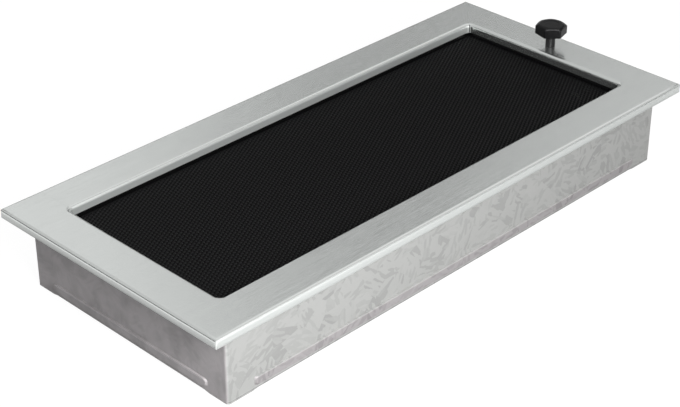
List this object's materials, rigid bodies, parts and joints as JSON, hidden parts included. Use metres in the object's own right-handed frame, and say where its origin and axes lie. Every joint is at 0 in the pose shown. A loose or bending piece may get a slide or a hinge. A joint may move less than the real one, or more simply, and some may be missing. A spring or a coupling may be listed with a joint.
{
  "type": "fireplace vent grille",
  "caption": "Rectangular fireplace vent grille: folded face plate, fine mesh, louvred shutter turned by a hexagonal knob, and a folded sleeve for building into a wall or hood.",
  "frame": {"origin": "centre of the sleeve's rear rim, on the surface that the grille lies on", "axes": "+X along the length towards the knob, +Y across the width, +Z out of the face"},
  "size_m": [0.37, 0.17, 0.065],
  "materials": {
    "stainless_face": "fine brushed along the length",
    "black_mesh": "black powder coat, satin",
    "black_frame": "black powder coat, satin",
    "black_blades": "black powder coat, satin",
    "galvanised_sleeve": "hot-dip zinc with a large angular spangle",
    "bright_steel": "zinc plated, bright",
    "spring_steel": "cold rolled",
    "bush_nylon": "natural nylon",
    "black_knob": "moulded, fine satin",
    "black_stem": "black oxide"
  },
  "bodies": {
    "grille": {"face_plate": "stainless_face", "mesh_panel": "black_mesh", "rail_near": "black_frame", "rail_far": "black_frame", "end_plate_left": "black_frame", "end_plate_right": "black_frame", "frame_rivets": "bright_steel", "bushes_left": "bush_nylon", "bushes_right": "bush_nylon", "guide_rivets": "bright_steel", "clip_near_left": "spring_steel", "clip_near_right": "spring_steel", "clip_far_left": "spring_steel", "clip_far_right": "spring_steel", "clip_rivets": "bright_steel", "mounting_sleeve": "galvanised_sleeve", "sleeve_rivets": "bright_steel", "friction_washer": "spring_steel"},
    "knob": {"knob_head": "black_knob", "knob_stem": "black_stem", "drive_arm": "bright_steel", "drive_pin": "bright_steel"},
    "link": {"link_bar": "bright_steel"},
    "louvre_1": {"blade_1": "black_blades", "spindle_1": "bright_steel", "crank_1": "bright_steel"},
    "louvre_2": {"blade_2": "black_blades", "spindle_2": "bright_steel", "crank_2": "bright_steel"},
    "louvre_3": {"blade_3": "black_blades", "spindle_3": "bright_steel", "crank_3": "bright_steel"},
    "louvre_4": {"blade_4": "black_blades", "spindle_4": "bright_steel", "crank_4": "bright_steel"},
    "louvre_5": {"blade_5": "black_blades", "spindle_5": "bright_steel", "crank_5": "bright_steel"},
    "louvre_6": {"blade_6": "black_blades", "spindle_6": "bright_steel", "crank_6": "bright_steel"}
  },
  "joints": [
    {"name": "knob_turn", "type": "hinge", "parent": "grille", "child": "knob", "pos_m": [0.1725, 0.0033, 0.05], "axis": [0, 0, 1], "range_deg": [0, 90]},
    {"name": "link_slide", "type": "slide", "parent": "grille", "child": "link", "axis": [0, -1, 0], "range_m": [0, 0.00651]},
    {"name": "louvre_turn_1", "type": "hinge", "parent": "grille", "child": "louvre_1", "pos_m": [0, -0.0445, 0.028], "axis": [1, 0, 0], "range_deg": [0, 90]},
    {"name": "louvre_turn_2", "type": "hinge", "parent": "grille", "child": "louvre_2", "pos_m": [0, -0.0267, 0.028], "axis": [1, 0, 0], "range_deg": [0, 90]},
    {"name": "louvre_turn_3", "type": "hinge", "parent": "grille", "child": "louvre_3", "pos_m": [0, -0.0089, 0.028], "axis": [1, 0, 0], "range_deg": [0, 90]},
    {"name": "louvre_turn_4", "type": "hinge", "parent": "grille", "child": "louvre_4", "pos_m": [0, 0.0089, 0.028], "axis": [1, 0, 0], "range_deg": [0, 90]},
    {"name": "louvre_turn_5", "type": "hinge", "parent": "grille", "child": "louvre_5", "pos_m": [0, 0.0267, 0.028], "axis": [1, 0, 0], "range_deg": [0, 90]},
    {"name": "louvre_turn_6", "type": "hinge", "parent": "grille", "child": "louvre_6", "pos_m": [0, 0.0445, 0.028], "axis": [1, 0, 0], "range_deg": [0, 90]}
  ],
  "couplings": [
    {"joint": "link_slide", "follows": "knob_turn", "m_per_rad": 0.0041415},
    {"joint": "louvre_turn_1", "follows": "knob_turn", "ratio": 1},
    {"joint": "louvre_turn_2", "follows": "knob_turn", "ratio": 1},
    {"joint": "louvre_turn_3", "follows": "knob_turn", "ratio": 1},
    {"joint": "louvre_turn_4", "follows": "knob_turn", "ratio": 1},
    {"joint": "louvre_turn_5", "follows": "knob_turn", "ratio": 1},
    {"joint": "louvre_turn_6", "follows": "knob_turn", "ratio": 1}
  ]
}
